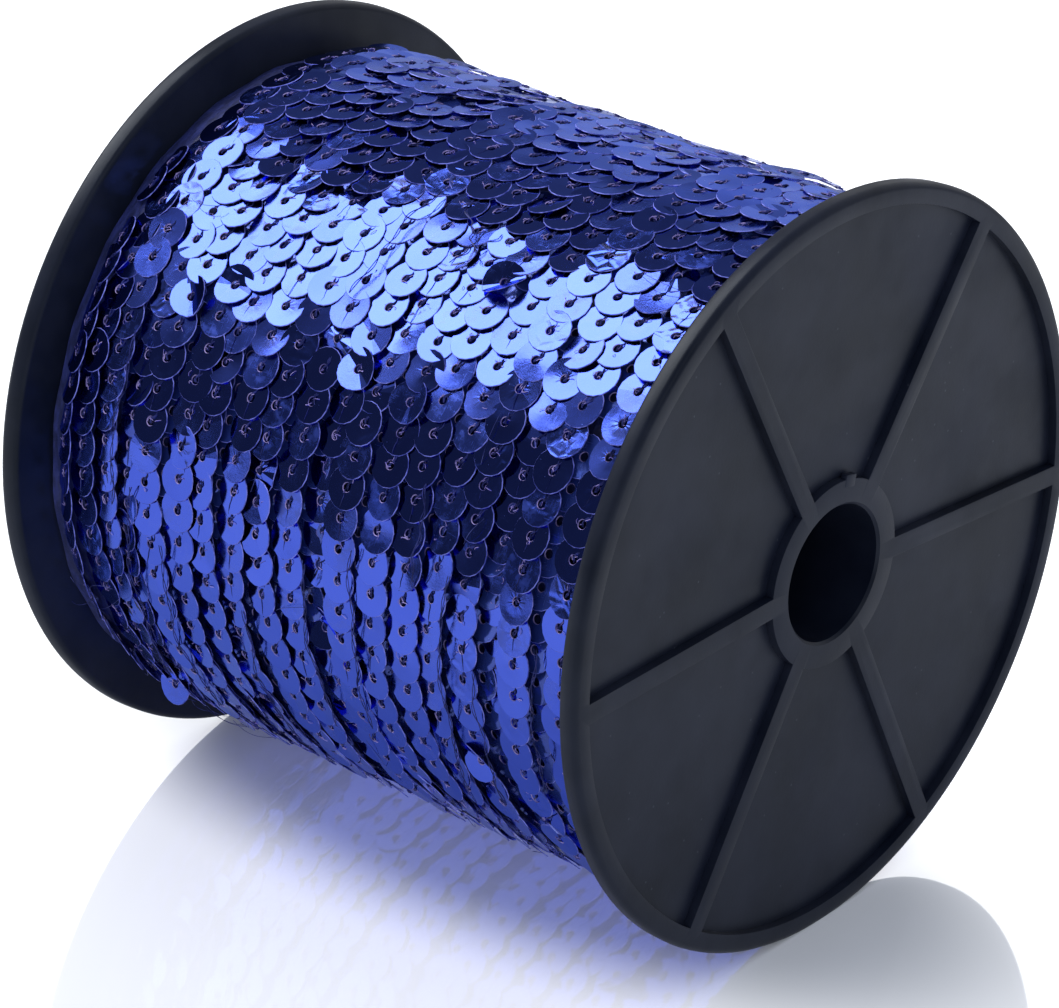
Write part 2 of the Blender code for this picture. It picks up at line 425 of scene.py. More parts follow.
class FinishSet:
    """Every material of the reel and its trim."""

    def __init__(self) -> None:
        """Build the shared effects, then each finish."""
        effects = SharedEffects()
        self.film = SequinFilm("sequin_film").make(effects)
        # Painted shade: the under layer's film is a darker copy of the top film, for the shade that falls between the
        # rows.
        sunk = SequinFilm("shaded_sunk_film", (0.042, 0.078, 0.40, 1.0), (0.028, 0.054, 0.30, 1.0), metallic=0.66)
        self.shaded_sunk_film = sunk.make(effects)
        self.cut_edge = CutEdge("sequin_cut_edge").make(effects)
        # Painted highlight in part: the pale lilac of the hole's lip is partly the raw edge and partly the glints round
        # the holes.
        self.lip = CutEdge("hole_lip", (0.36, 0.29, 0.60, 1.0), (0.09, 0.08, 0.28, 1.0)).make(effects)
        self.thread = TwistedThread("navy_thread").make(effects)
        self.wisp = TwistedThread("loose_fibre", (0.012, 0.016, 0.09, 1.0), (0.07, 0.08, 0.26, 1.0)).make(effects)
        # Painted highlight: the fuzz is a pale lilac copy of the navy thread, for the thread's glints at the holes.
        self.glint_fuzz = TwistedThread("lilac_fuzz_painted_glint", (0.15, 0.12, 0.42, 1.0), (0.46, 0.37, 0.72, 1.0)).make(effects)
        self.plastic = MouldedPlastic("reel_black").make(effects)
        self.core = WoundCore().make(effects)


def add_piece(
    name: str, mesh: bpy.types.Mesh, replaces: Sequence[str] = ()
) -> bpy.types.Object:
    """Link a finished mesh as a piece that rides on the reel.

    Args:
        name: The piece's name.
        mesh: Its mesh, in place.
        replaces: CAD nodes that it stands for.

    Returns:
        The piece's object, at the origin.
    """
    item = bpy.data.objects.new(name, mesh)
    bpy.context.scene.collection.objects.link(item)
    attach(item, ROOT_BODY)
    if replaces:
        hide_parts(*replaces)
    LOG.info("%s: %d faces", name, len(mesh.polygons))
    return item


def mesh_from(work: bmesh.types.BMesh, name: str, materials: Sequence[bpy.types.Material]) -> bpy.types.Mesh:
    """Return the bmesh as a mesh that is smooth except at its sharp edges."""
    mesh = bpy.data.meshes.new(name)
    work.to_mesh(mesh)
    work.free()
    for material in materials:
        mesh.materials.append(material)
    mesh.shade_smooth()
    mesh.set_sharp_from_angle(angle=SMOOTH_ANGLE)
    return mesh


def bevel_edges(work: bmesh.types.BMesh, edges: Sequence[bmesh.types.BMEdge], width: float, segments: int = 2) -> None:
    """Round the edges by that width."""
    bmesh.ops.bevel(
        work, geom=list(edges), offset=width, offset_type="OFFSET", segments=segments, profile=0.5,
        affect="EDGES", material=-1, clamp_overlap=True,
    )


def grow_ring(
    work: bmesh.types.BMesh, edges: Sequence[bmesh.types.BMEdge], scale: float, rise: float
) -> list[bmesh.types.BMEdge]:
    """Extrude a ring of edges, scaled about Z and raised, and return the new ring."""
    grown = bmesh.ops.extrude_edge_only(work, edges=list(edges))["geom"]
    verts = [item for item in grown if isinstance(item, bmesh.types.BMVert)]
    bmesh.ops.scale(work, vec=(scale, scale, 1.0), verts=verts)
    bmesh.ops.translate(work, vec=(0.0, 0.0, rise), verts=verts)
    return [item for item in grown if isinstance(item, bmesh.types.BMEdge)]


@dataclass
class Template:
    """A small shape as arrays, ready to be set down many times."""

    points: np.ndarray
    faces: np.ndarray
    finish: np.ndarray

    @classmethod
    def from_bmesh(cls, work: bmesh.types.BMesh, finish: Sequence[int]) -> "Template":
        """Read a bmesh of quads, and free it.

        Args:
            work: The shape.
            finish: The material index of each face.

        Returns:
            The shape's points, faces and material indices.
        """
        work.verts.index_update()
        points = np.array([vert.co[:] for vert in work.verts])
        faces = np.array([[vert.index for vert in face.verts] for face in work.faces])
        work.free()
        return cls(points, faces, np.array(finish))

    def joined_mesh(
        self, name: str, points: np.ndarray, materials: Sequence[bpy.types.Material],
        flat: Optional[np.ndarray] = None,
    ) -> bpy.types.Mesh:
        """Join many placed copies into one mesh.

        Args:
            name: The mesh's name.
            points: Each copy's points in place, as (copies, points, 3).
            materials: The mesh's materials, in the order of the material indices.
            flat: Which copies are shaded flat, because they are creased.

        Returns:
            The joined mesh.
        """
        copies, count = points.shape[:2]
        corners = self.faces.shape[1]
        faces = (self.faces[None] + (np.arange(copies) * count)[:, None, None]).reshape(-1, corners)
        mesh = bpy.data.meshes.new(name)
        mesh.from_pydata(points.reshape(-1, 3), [], faces.tolist())
        for material in materials:
            mesh.materials.append(material)
        mesh.polygons.foreach_set("material_index", np.tile(self.finish, copies).astype(np.int32))
        mesh.shade_smooth()
        mesh.set_sharp_from_angle(angle=SMOOTH_ANGLE)
        if flat is not None:
            smooth = np.repeat(~flat, len(self.faces))
            mesh.polygons.foreach_set("use_smooth", smooth)
        mesh.update()
        return mesh


@dataclass
class Flange:
    """A moulded flange: web, raised rim, collar and ribs outside, spigot inside."""

    finishes: FinishSet
    radius: float = FLANGE_RADIUS
    thickness: float = RIM_THICKNESS
    rim_width: float = 2.7 * MM
    rim_rounding: float = 0.9 * MM
    web_thickness: float = 1.6 * MM
    bore_radius: float = 9.0 * MM
    collar_radius: float = 12.4 * MM
    spigot_radius: float = 11.0 * MM
    spigot_length: float = 9.0 * MM
    rib_width: float = 2.7 * MM
    rib_turns: tuple[float, ...] = (-5.0, 52.0, 117.5, 180.0, 236.0, 295.5)
    edge_round: float = 0.22 * MM
    steps: int = 180

    def _outline(self) -> list[tuple[float, float]]:
        """Return the section as (along, radius), with the web still as high as the ribs."""
        rounding = self.rim_rounding
        centre = self.radius - rounding
        arcs = []
        for step in range(9):
            angle = math.pi / 2 * step / 4
            along = (self.thickness - rounding) if step <= 4 else rounding
            arcs.append((along + rounding * math.cos(angle), centre + rounding * math.sin(angle)))
        chamfer = 0.35 * MM
        return [
            (self.thickness - chamfer, self.bore_radius),
            (self.thickness, self.bore_radius + chamfer),
            (self.thickness, self.collar_radius),
            (self.thickness, self.radius - self.rim_width),
            *arcs,
            (0.0, self.spigot_radius),
            (-self.spigot_length, self.spigot_radius),
            (-self.spigot_length, self.bore_radius),
        ]

    def _spin(self) -> bmesh.types.BMesh:
        """Spin the section about the X axis."""
        work = bmesh.new()
        verts = [work.verts.new((along, radius, 0.0)) for along, radius in self._outline()]
        edges = [work.edges.new(pair) for pair in zip(verts, verts[1:] + verts[:1])]
        bmesh.ops.spin(
            work, geom=verts + edges, cent=(0.0, 0.0, 0.0), axis=(1.0, 0.0, 0.0), dvec=(0.0, 0.0, 0.0),
            angle=math.tau, steps=self.steps, use_merge=True, use_duplicate=False,
        )
        bmesh.ops.recalc_face_normals(work, faces=work.faces)
        return work

    def _web_faces(self, work: bmesh.types.BMesh) -> list[bmesh.types.BMFace]:
        """Return the outside faces between the collar and the rim."""
        found = []
        for face in work.faces:
            centre = face.calc_center_median()
            span = math.hypot(centre.y, centre.z)
            if face.normal.x > 0.9 and self.collar_radius < span < self.radius - self.rim_width:
                found.append(face)
        return found

    def _on_rib(self, centre: Vector) -> bool:
        """Tell whether a point of the web lies on a rib."""
        for degrees in self.rib_turns:
            turn = math.radians(degrees)
            along = centre.y * math.cos(turn) + centre.z * math.sin(turn)
            across = centre.z * math.cos(turn) - centre.y * math.sin(turn)
            if along > 0.0 and abs(across) < self.rib_width / 2:
                return True
        return False

    def _near_rib(self, work: bmesh.types.BMesh, turn: float) -> list[bmesh.types.BMFace]:
        """Return the web's faces on the rib's own side of the axis."""
        heading = Vector((0.0, math.cos(turn), math.sin(turn)))
        return [face for face in self._web_faces(work) if face.calc_center_median().dot(heading) > 0.0]

    def _sink_panels(self, work: bmesh.types.BMesh) -> None:
        """Cut the web along the ribs' sides and press the six panels in."""
        for degrees in self.rib_turns:
            turn = math.radians(degrees)
            across = Vector((0.0, -math.sin(turn), math.cos(turn)))
            for side in (1, -1):
                faces = self._near_rib(work, turn)
                edges = {edge for face in faces for edge in face.edges}
                verts = {vert for face in faces for vert in face.verts}
                bmesh.ops.bisect_plane(
                    work, geom=[*faces, *edges, *verts], dist=0.02 * MM,
                    plane_co=across * (side * self.rib_width / 2), plane_no=across,
                )
        panels = [face for face in self._web_faces(work) if not self._on_rib(face.calc_center_median())]
        grown = bmesh.ops.extrude_face_region(work, geom=panels)["geom"]
        bmesh.ops.delete(work, geom=[face for face in panels if face.is_valid], context="FACES_ONLY")
        floor = [item for item in grown if isinstance(item, bmesh.types.BMVert)]
        bmesh.ops.translate(work, vec=(self.web_thickness - self.thickness, 0.0, 0.0), verts=floor)

    def _round_edges(self, work: bmesh.types.BMesh) -> None:
        """Round the top edges of the ribs, collar and rim."""
        picked = []
        for edge in work.edges:
            if len(edge.link_faces) != 2 or edge.calc_face_angle(0.0) < math.radians(60):
                continue
            if all(abs(vert.co.x - self.thickness) < 0.01 * MM for vert in edge.verts):
                picked.append(edge)
        bevel_edges(work, picked, self.edge_round)

    def _cut_rest(self, work: bmesh.types.BMesh) -> None:
        """Cut the small flat on which the rim rests."""
        geometry = work.verts[:] + work.edges[:] + work.faces[:]
        bmesh.ops.bisect_plane(
            work, geom=geometry, dist=1e-7, plane_co=(0.0, 0.0, -AXIS_HEIGHT), plane_no=(0.0, 0.0, -1.0),
            clear_outer=True,
        )
        bmesh.ops.holes_fill(work, edges=[edge for edge in work.edges if edge.is_boundary], sides=0)

    def _add_nib(self, work: bmesh.types.BMesh) -> None:
        """Add the small moulding nib that stands on the collar's inner lip."""
        turn = math.radians(77.0)
        size = Matrix.Diagonal((1.0 * MM, 1.7 * MM, 2.1 * MM, 1.0))
        reach = Matrix.Translation((self.thickness - 0.42 * MM, self.collar_radius - 0.25 * MM, 0.0))
        place = Matrix.Rotation(turn, 4, "X") @ reach @ size
        nib = bmesh.ops.create_cube(work, size=1.0, matrix=place)["verts"]
        edges = {edge for vert in nib for edge in vert.link_edges}
        bevel_edges(work, edges, 0.2 * MM)

    def build(self, name: str, node: str, side: int) -> bpy.types.Object:
        """Make the flange and set it at its end of the reel.

        Args:
            name: The piece's name.
            node: The CAD node that it stands for.
            side: 1 for the near end, -1 for the far end.

        Returns:
            The flange.
        """
        work = self._spin()
        self._sink_panels(work)
        self._round_edges(work)
        self._cut_rest(work)
        self._add_nib(work)
        turn = Matrix.Rotation(0.0 if side > 0 else math.pi, 4, "Z")
        place = Matrix.Translation((side * INNER_FACE, 0.0, AXIS_HEIGHT)) @ turn
        bmesh.ops.transform(work, matrix=place, verts=work.verts)
        mesh = mesh_from(work, name, [self.finishes.plastic])
        return add_piece(name, mesh, [node])


@dataclass
class HubTube:
    """The plain tube between the flanges, whose bore shows through them."""

    finishes: FinishSet

    def build(self) -> None:
        """Dress the CAD tube."""
        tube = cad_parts["hub_tube"]
        tube.data.materials.clear()
        tube.data.materials.append(self.finishes.plastic)
        LOG.info("hub_tube: CAD node dressed")


@dataclass(frozen=True)
class Row:
    """One turn of the trim where it crosses the front.

    Places are millimetres along the reel at 55, 14, 0 and -15 degrees. Band is the
    angle where the row faces the softbox squarely. Lean is how far the row's sequins
    turn towards the far end, in degrees, and lift how far they stand out of the
    layer, in millimetres, each high up and low down. Tilt is how far their lower
    edges stand off the row below, in degrees, low down.
    """

    places: tuple[float, float, float, float]
    band: float = 58.0
    lean: tuple[float, float] = (3.0, 8.0)
    lift: tuple[float, float] = (0.0, 0.0)
    tilt: float = 4.5


MEAN_BAND = 58.0
FRONT_ANGLES = (-110.0, -15.0, 0.0, 14.0, 55.0, 120.0)
FRONT_ROWS = (
    Row((-43.0, -43.0, -42.8, -42.6), 62.0, (28.0, 30.0), (-1.5, -1.5)),
    Row((-39.4, -39.1, -38.4, -37.0), 63.0, (14.0, 15.0), (-0.7, -0.9)),
    Row((-34.9, -35.0, -34.2, -33.8), 63.5, (2.0, 17.0), (0.0, -0.6)),
    Row((-30.5, -30.7, -30.6, -30.2), 59.0, (2.0, 18.0), (0.0, -0.7)),
    Row((-26.1, -26.8, -25.8, -25.4), 54.0, (2.0, 5.0), (0.1, 0.2), 5.0),
    Row((-21.4, -21.5, -20.6, -21.1), 60.0, (2.0, 7.0), (0.0, 0.0), 3.4),
    Row((-17.3, -17.4, -16.6, -16.0), 54.0, (3.0, 11.0), (0.0, 0.0), 3.4),
    Row((-12.6, -12.2, -12.0, -12.1), 54.5, (3.0, 11.0), (0.0, 0.0), 4.0),
    Row((-7.8, -7.8, -6.8, -5.4), 60.0, (2.0, 9.0), (0.0, 0.0), 7.0),
    Row((-3.0, -2.8, -2.0, -1.1), 60.5, (2.0, 10.0), (0.1, 0.0), 7.0),
    Row((2.2, 2.1, 3.3, 4.3), 57.5, (2.0, 6.0), (0.1, -0.8), 7.5),
    Row((6.6, 5.8, 6.3, 7.0), 58.0, (2.0, 7.0), (0.0, 0.2), 6.0),
    Row((11.2, 11.9, 11.9, 11.9), 56.0, (2.0, 7.0), (0.0, 0.0), 3.2),
    Row((15.8, 16.9, 16.8, 16.7), 57.0, (2.0, 8.0), (0.1, 0.0), 7.5),
    Row((20.6, 21.9, 20.8, 21.6), 56.5, (3.0, 13.0), (0.0, -0.1), 7.0),
    Row((25.9, 26.5, 26.3, 26.8), 60.0, (0.0, 9.0), (0.3, 0.0), 4.2),
    Row((30.9, 30.2, 31.5, 32.0), 58.5, (2.0, 9.0), (0.1, -0.9), 6.0),
    Row((35.6, 35.0, 34.9, 34.1), 57.0, (2.0, 6.0), (0.0, 0.3), 6.0),
    Row((41.3, 41.3, 42.0, 42.0), 56.0, (2.0, 3.0), (0.0, 0.1), 3.0),
)


# Places along the reel, in millimetres, and angles that each bare stretch of thread spans.
GAP_THREADS = (
    ((-1.6, -3.4), 70.0, 47.0),
    ((4.0, 9.5), 67.0, 60.0),
    ((9.5, 7.4), 66.0, 57.0),
    ((-22.6, -23.4), 71.0, 60.0),
    ((-28.6, -29.4), 6.0, -34.0),
    ((-32.2, -31.6), 30.0, 2.0),
    ((-23.4, -23.0), -2.0, -38.0),
    ((1.0, 2.6), 5.0, -26.0),
    ((9.0, 9.6), 10.0, -22.0),
    ((24.0, 23.6), 12.0, -30.0),
    ((29.0, 29.6), -2.0, -28.0),
    ((38.4, 38.0), 6.0, -20.0),
    ((18.6, 19.0), 24.0, 8.0),
    ((-9.6, -9.0), -8.0, -40.0),
)


@dataclass(frozen=True)
class SequinShape:
    """One flat round sequin with its thread hole."""

    radius: float = 2.9 * MM
    hole_radius: float = 0.58 * MM
    thickness: float = 0.10 * MM
    edge_slope: float = 0.08 * MM
    sides: int = 18

    def template(self) -> Template:
        """Return the sequin lying on Z = 0, with film inside and cut edge outside."""
        work = bmesh.new()
        bmesh.ops.create_circle(work, cap_ends=False, segments=self.sides, radius=self.radius)
        first = work.edges[:]
        top = self.radius - self.edge_slope
        rim = grow_ring(work, first, top / self.radius, self.thickness)
        lip_radius = self.hole_radius + self.edge_slope
        lip = grow_ring(work, rim, lip_radius / top, 0.0)
        last = grow_ring(work, lip, self.hole_radius / lip_radius, -self.thickness)
        bmesh.ops.bridge_loops(work, edges=[*first, *last])
        bmesh.ops.recalc_face_normals(work, faces=work.faces)
        middle = (self.radius + self.hole_radius) / 2
        finish = []
        for face in work.faces:
            inside = face.calc_center_median().length < middle
            finish.append(0 if abs(face.normal.z) > 0.9 else 2 if inside else 1)
        return Template.from_bmesh(work, finish)


PLACE_FIELDS = ("angle", "along", "radius", "tilt", "lean")


@dataclass
class Placement:
    """Where each sequin of a layer lies, as arrays with one entry per sequin."""

    angle: np.ndarray
    along: np.ndarray
    radius: np.ndarray
    tilt: np.ndarray
    lean: np.ndarray

    def axes(self) -> tuple[np.ndarray, np.ndarray, np.ndarray]:
        """Return each sequin's right, up and outward directions as (count, 3) arrays."""
        zero, one = np.zeros_like(self.angle), np.ones_like(self.angle)
        radial = np.stack([zero, -np.cos(self.angle), np.sin(self.angle)], -1)
        upward = np.stack([zero, np.sin(self.angle), np.cos(self.angle)], -1)
        along = np.stack([one, zero, zero], -1)
        cos_tilt, sin_tilt = np.cos(self.tilt)[:, None], np.sin(self.tilt)[:, None]
        cos_lean, sin_lean = np.cos(self.lean)[:, None], np.sin(self.lean)[:, None]
        raised = cos_tilt * radial + sin_tilt * upward
        up = cos_tilt * upward - sin_tilt * radial
        return cos_lean * along + sin_lean * raised, up, cos_lean * raised - sin_lean * along

    def centres(self) -> np.ndarray:
        """Return each sequin's centre in the reel's frame."""
        return np.stack(
            [
                self.along,
                -self.radius * np.cos(self.angle),
                self.radius * np.sin(self.angle) + AXIS_HEIGHT,
            ],
            -1,
        )

    def set_down(self, local: np.ndarray) -> np.ndarray:
        """Carry local points, as (count, points, 3), into place."""
        axes = np.stack(self.axes(), -1)
        return np.einsum("cij,cpj->cpi", axes, local) + self.centres()[:, None]

    def picked(self, keep: np.ndarray) -> "Placement":
        """Return only the sequins that a mask keeps."""
        return Placement(*(getattr(self, name)[keep] for name in PLACE_FIELDS))

    def joined(self, strays: Sequence[Sequence[float]]) -> "Placement":
        """Return the sequins with strays added, each given as (angle, along, radius, tilt, lean)."""
        more = np.array(strays, float).reshape(-1, len(PLACE_FIELDS)).T
        return Placement(*(np.append(getattr(self, name), values) for name, values in zip(PLACE_FIELDS, more)))


@dataclass
class Layer:
    """One layer of the winding: a helix of overlapping sequins."""

    radius: float = 45.4 * MM
    spacing: float = 4.12 * MM
    shift: float = 0.0
    seed: int = 11
    base_tilt: float = 4.4
    crown_lean: float = -5.0
    crown_tilt: float = -6.0
    crown_heave: float = 0.25
    tilt_spread: float = 1.2
    lean_spread: float = 1.7
    rough_share: float = 0.11
    rough_factor: float = 3.0
    missing_share: float = 0.015
    side_limit: float = 42.7 * MM
    strays: tuple[tuple[float, float, float, float, float], ...] = ()

    def place(self) -> Placement:
        """Lay the sequins out along the helix, row by row."""
        chance = np.random.default_rng(self.seed)
        turns = len(FRONT_ROWS)
        count = int(turns * math.tau * self.radius / self.spacing * 1.05)
        drift = 1.0 + 0.03 * np.sin(np.arange(count) * 0.021) + chance.normal(0.0, 0.025, count)
        travel = np.cumsum(drift) * self.spacing / self.radius
        travel = travel[travel < turns * math.tau]
        row = (travel // math.tau).astype(int)
        angle = np.pi - travel % math.tau
        degrees = np.degrees(angle)
        count = len(angle)
        base = -TRIM_PITCH * (turns - 1) / 2 + TRIM_PITCH * row - TRIM_PITCH * degrees / 360.0
        sway = 0.28 * np.sin(travel * 2.3 + row) + chance.normal(0.0, 0.12, count)
        along = base + self._wander(row, degrees) + self.shift + sway * MM
        keep = (np.abs(along) < self.side_limit + 0.8 * MM) & (chance.random(count) > self.missing_share)
        high = self._high_share(degrees)
        low = (1.0 - high) * np.clip((150.0 + degrees) / 60.0, 0.0, 1.0)
        rest = 1.0 - high - low
        leans, lifts = (np.array([getattr(spec, name) for spec in FRONT_ROWS])[row] for name in ("lean", "lift"))
        tilts, bands = (np.array([getattr(spec, name) for spec in FRONT_ROWS])[row] for name in ("tilt", "band"))
        rough = np.where(chance.random(count) < self.rough_share, self.rough_factor, 1.0)
        tilt = tilts * low + (self.base_tilt + MEAN_BAND - bands) * high + self.base_tilt * rest
        crown = np.clip((degrees - 85.0) / 25.0, 0.0, 1.0) * np.clip((175.0 - degrees) / 40.0, 0.0, 1.0)
        tilt = tilt + self.crown_tilt * crown + chance.normal(0.0, self.tilt_spread, count) * rough
        lean = leans[:, 0] * high + leans[:, 1] * low + 4.0 * rest + self.crown_lean * crown
        lean = lean + 1.5 * np.sin(travel * 3.1) + chance.normal(0.0, self.lean_spread, count) * rough
        lift = lifts[:, 0] * high + lifts[:, 1] * low + self.crown_heave * np.sin(2.6 * row) * crown
        lift = lift + 0.12 * np.sin(travel * 1.7 + row * 2.1) + chance.normal(0.0, 0.04, count)
        place = Placement(
            angle, np.clip(along, -self.side_limit, self.side_limit),
            self.radius + lift * MM, np.radians(tilt), np.radians(lean),
        )
        return place.picked(keep).joined(self.strays)

    @staticmethod
    def _high_share(degrees: np.ndarray) -> np.ndarray:
        """Return how far each sequin follows its row's upper values, from 0 to 1."""
        front = np.clip((degrees - 12.0) / 30.0, 0.0, 1.0)
        return np.where(degrees > 110.0, np.clip((180.0 - degrees) / 70.0, 0.0, 1.0), front)

    def _wander(self, row: np.ndarray, degrees: np.ndarray) -> np.ndarray:
        """Return how far each sequin lies from the even helix, along the reel."""
        shifts = np.zeros(len(row))
        for number, spec in enumerate(FRONT_ROWS):
            even = -TRIM_PITCH * (len(FRONT_ROWS) - 1) / 2 + TRIM_PITCH * number
            knots = np.array([0.0, *spec.places[::-1], 0.0]) * MM
            expected = even - TRIM_PITCH * np.array(FRONT_ANGLES) / 360.0
            offset = knots - expected
            offset[0] = offset[-1] = 0.0
            here = row == number
            shifts[here] = np.interp(degrees[here], FRONT_ANGLES, offset)
        return shifts


@dataclass
class SequinWinding:
    """The wound trim: two layers of sequins over a dark core, with their thread."""

    finishes: FinishSet
    shape: SequinShape = SequinShape()
    core_radius: float = 43.4 * MM
    under_drop: float = 1.15 * MM
    split: int = 3
    crease_share: float = 0.16
    fold_share: float = 0.025
    thread_radius: float = 0.10 * MM
    tail_share: float = 0.20
    fuzz_strands: int = 4
    fuzz_share: float = 0.62
    wisp_count: int = 28

    def _bend(self, points: np.ndarray, copies: int, chance: np.random.Generator) -> tuple[np.ndarray, np.ndarray]:
        """Bow, crease and fold the sequins a little, each in its own way.

        Args:
            points: The flat sequin's points.
            copies: How many sequins there are.
            chance: The source of variation.

        Returns:
            Each sequin's points as (copies, points, 3), and which are creased.
        """
        local = np.repeat(points[None], copies, axis=0)
        draw = chance.random(copies)
        creased = draw < self.crease_share + self.fold_share
        folded = draw < self.fold_share
        span = (local[..., 0] ** 2 + local[..., 1] ** 2) / self.shape.radius ** 2
        soft = np.where(creased, 0.0, 1.0) * MM
        bow = (chance.normal(0.02, 0.05, copies) * soft)[:, None]
        saddle = (chance.normal(0.0, 0.05, copies) * soft)[:, None]
        turn = chance.random(copies)[:, None] * math.tau
        heading = np.arctan2(local[..., 1], local[..., 0])
        local[..., 2] += bow * span + saddle * span * np.cos(2.0 * (heading - turn))
        amount = np.where(folded, chance.uniform(0.2, 0.55, copies), chance.uniform(0.02, 0.09, copies))
        amount = np.where(creased, amount, 0.0) * chance.choice([-1.0, 1.0], copies)
        step = math.tau / self.shape.sides
        line = (chance.integers(0, self.shape.sides, copies) * step)[:, None]
        across = -np.sin(line) * local[..., 0] + np.cos(line) * local[..., 1]
        ahead = np.cos(line) * local[..., 0] + np.sin(line) * local[..., 1]
        reach = across * np.cos(amount)[:, None]
        local[..., 2] += np.abs(across) * np.sin(amount)[:, None]
        local[..., 0] = np.cos(line) * ahead - np.sin(line) * reach
        local[..., 1] = np.sin(line) * ahead + np.cos(line) * reach
        return local, creased

    def _lot_and_uv(self, mesh: bpy.types.Mesh, points: np.ndarray, copies: int, chance: np.random.Generator) -> None:
        """Give each sequin its own random lot colour and the UV map of a disc."""
        lots = np.ones((copies, len(points), 4), np.float32)
        lots[..., :3] = chance.random((copies, 1, 3))
        attribute = mesh.color_attributes.new("lot", "FLOAT_COLOR", "POINT")
        attribute.data.foreach_set("color", lots.ravel())
        flat = np.tile(points[:, :2] / (2.0 * self.shape.radius) + 0.5, (copies, 1))
        corner = np.empty(len(mesh.loops), np.int32)
        mesh.loops.foreach_get("vertex_index", corner)
        layer = mesh.uv_layers.new(name="disc")
        layer.data.foreach_set("uv", flat[corner].astype(np.float32).ravel())

    def _sequins(self, name: str, layer: Layer, place: Placement, film: bpy.types.Material) -> None:
        """Set the sequins of a layer down, as a few pieces split along the reel."""
        template = self.shape.template()
        chance = np.random.default_rng(layer.seed + 100)
        local, creased = self._bend(template.points, len(place.angle), chance)
        placed = place.set_down(local)
        edges = np.quantile(place.along, np.linspace(0.0, 1.0, self.split + 1))
        for part in range(self.split):
            keep = (place.along >= edges[part]) & (place.along < edges[part + 1] + (part == self.split - 1))
            title = f"{name}_{part + 1}"
            mesh = template.joined_mesh(
                title, placed[keep], [film, self.finishes.cut_edge, self.finishes.lip], creased[keep]
            )
            self._lot_and_uv(mesh, template.points, int(keep.sum()), chance)
            add_piece(title, mesh, ["sequin_winding"])

    def _strand(self, sides: int, steps: int) -> Template:
        """Return an open-ended straight tube along +Y, of radius 1 and length 1."""
        work = bmesh.new()
        bmesh.ops.create_circle(work, cap_ends=False, segments=sides, radius=1.0)
        ring = work.edges[:]
        for _ in range(steps):
            ring = grow_ring(work, ring, 1.0, 1.0 / steps)
        bmesh.ops.recalc_face_normals(work, faces=work.faces)
        return Template.from_bmesh(work, [0] * (sides * steps))

    @staticmethod
    def _along_path(template: Template, path: np.ndarray, radius: np.ndarray) -> np.ndarray:
        """Bend the straight tube along paths.

        Args:
            template: The straight tube, whose height runs from 0 to 1.
            path: Points of each path, as (copies, steps + 1, 3).
            radius: The tube's radius at each path.

        Returns:
            The tubes' points as (copies, points, 3).
        """
        steps = path.shape[1] - 1
        ring = np.rint(template.points[:, 2] * steps).astype(int)
        ahead = np.gradient(path, axis=1)
        ahead /= np.linalg.norm(ahead, axis=2, keepdims=True) + 1e-12
        guide = np.where(np.abs(ahead[..., 2:3]) > 0.9, [[[1.0, 0.0, 0.0]]], [[[0.0, 0.0, 1.0]]])
        side = np.cross(ahead, guide)
        side /= np.linalg.norm(side, axis=2, keepdims=True) + 1e-12
        other = np.cross(side, ahead)
        spread = template.points[None, :, 0:1] * side[:, ring] + template.points[None, :, 1:2] * other[:, ring]
        return path[:, ring] + spread * radius[:, None, None]

    def _thread(self, place: Placement) -> None:
        """Lead two twisted strands out of each hole and up under the next sequin."""
        steps = 7
        template = self._strand(4, steps)
        chance = np.random.default_rng(31)
        count = len(place.angle)
        run = np.linspace(0.0, 1.0, steps + 1)
        strands = []
        for strand in (0.0, math.pi):
            twist = strand + chance.random(count)[:, None] * math.tau + run * 8.0
            swing = chance.normal(0.75, 0.25, count)[:, None] * MM
            spread = (0.14 + 0.10 * chance.random(count)[:, None]) * MM
            local = np.zeros((count, steps + 1, 3))
            local[..., 0] = spread * np.cos(twist) + swing * run
            local[..., 1] = (-0.25 + 2.0 * run) * MM
            hump = np.sin(np.clip(run * 1.35, 0.0, 1.0) * math.pi) * 0.20 - 0.08
            local[..., 2] = (hump + 0.08 * np.sin(twist)) * MM + self.shape.thickness
            strands.append(self._along_path(template, place.set_down(local), np.full(count, self.thread_radius)))
        placed = np.concatenate(strands)
        mesh = template.joined_mesh("sequin_thread", placed, [self.finishes.thread])
        add_piece("sequin_thread", mesh)

    def _fuzz(self, place: Placement) -> None:
        """Add the fine fibres that curl out of each hole, coloured a pale lilac that is a painted highlight for the
        thread's glints.
        """
        steps = 4
        template = self._strand(3, steps)
        chance = np.random.default_rng(91)
        run = np.linspace(0.0, 1.0, steps + 1)
        tufts = []
        for _ in range(self.fuzz_strands):
            hairy = place.picked(chance.random(len(place.angle)) < self.fuzz_share)
            count = len(hairy.angle)
            turn = chance.normal(1.2, 0.9, count)[:, None] + chance.normal(0.0, 1.5, count)[:, None] * run
            length = (chance.uniform(0.3, 1.1, count) / steps)[:, None]
            local = np.zeros((count, steps + 1, 3))
            local[..., 0] = (np.cumsum(np.cos(turn), 1) * length + chance.normal(0.0, 0.35, count)[:, None]) * MM
            local[..., 1] = (np.cumsum(np.sin(turn), 1) * length + chance.normal(-0.1, 0.35, count)[:, None]) * MM
            local[..., 2] = self.shape.thickness + (0.05 + 0.14 * np.sin(run * math.pi)) * MM
            tufts.append(self._along_path(template, hairy.set_down(local), np.full(count, 0.042 * MM)))
        mesh = template.joined_mesh("hole_fuzz", np.concatenate(tufts), [self.finishes.glint_fuzz])
        add_piece("hole_fuzz", mesh)

